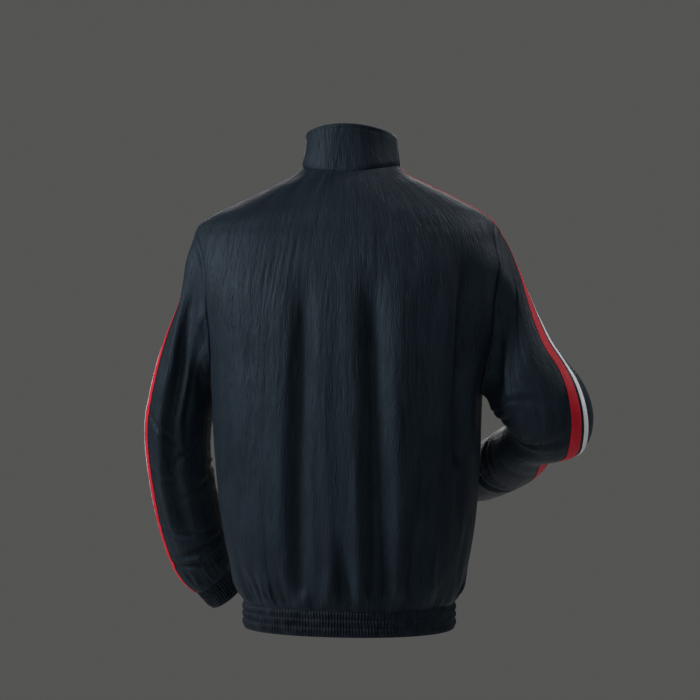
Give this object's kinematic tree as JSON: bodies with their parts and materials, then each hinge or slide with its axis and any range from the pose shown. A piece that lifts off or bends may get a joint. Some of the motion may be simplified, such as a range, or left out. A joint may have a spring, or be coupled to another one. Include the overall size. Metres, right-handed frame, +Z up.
{
  "type": "reversible windbreaker",
  "caption": "Hip-length windbreaker with stand collar, full front zip, set-in sleeves with contrast tapes, and shirred elastic hem band and cuffs, held in its worn shape.",
  "frame": {"origin": "centre of the neck opening at the height of the collar seam's back, where the wearer's shoulders carry the jacket", "axes": "+Z up, -Y towards the front with the zip, +X towards the wearer's left sleeve"},
  "size_m": [0.6641, 0.3866, 0.729],
  "materials": {
    "navy_nylon": "crinkled nylon shell cloth with a soft sheen",
    "navy_ribbing": "nylon shirred over elastic in fine ribs",
    "red_tape": "smooth knitted tape",
    "white_tape": "smooth knitted tape",
    "zip_tape_navy": "woven zip tape",
    "zip_metal": "satin plated metal"
  },
  "bodies": {
    "garment": {"back": "navy_nylon", "front_left": "navy_nylon", "front_right": "navy_nylon", "sleeve_left": "navy_nylon", "sleeve_right": "navy_nylon", "collar": "navy_nylon", "hem_band": "navy_ribbing", "cuff_left": "navy_ribbing", "cuff_right": "navy_ribbing", "shoulder_tape_red_left": "red_tape", "shoulder_tape_red_right": "red_tape", "sleeve_tape_red_left": "red_tape", "sleeve_tape_red_right": "red_tape", "shoulder_tape_white_left": "white_tape", "shoulder_tape_white_right": "white_tape", "sleeve_tape_white_left": "white_tape", "sleeve_tape_white_right": "white_tape", "zip_tape_left": "zip_tape_navy", "zip_tape_right": "zip_tape_navy", "zip_slider": "zip_metal", "zip_box": "zip_metal"},
    "pull_tab": {"zip_pull": "zip_metal"}
  },
  "joints": [
    {"name": "pull_hinge", "type": "hinge", "parent": "garment", "child": "pull_tab", "pos_m": [0, -0.07842, 0], "axis": [-1, 0, 0], "range_deg": [0, 150]}
  ]
}
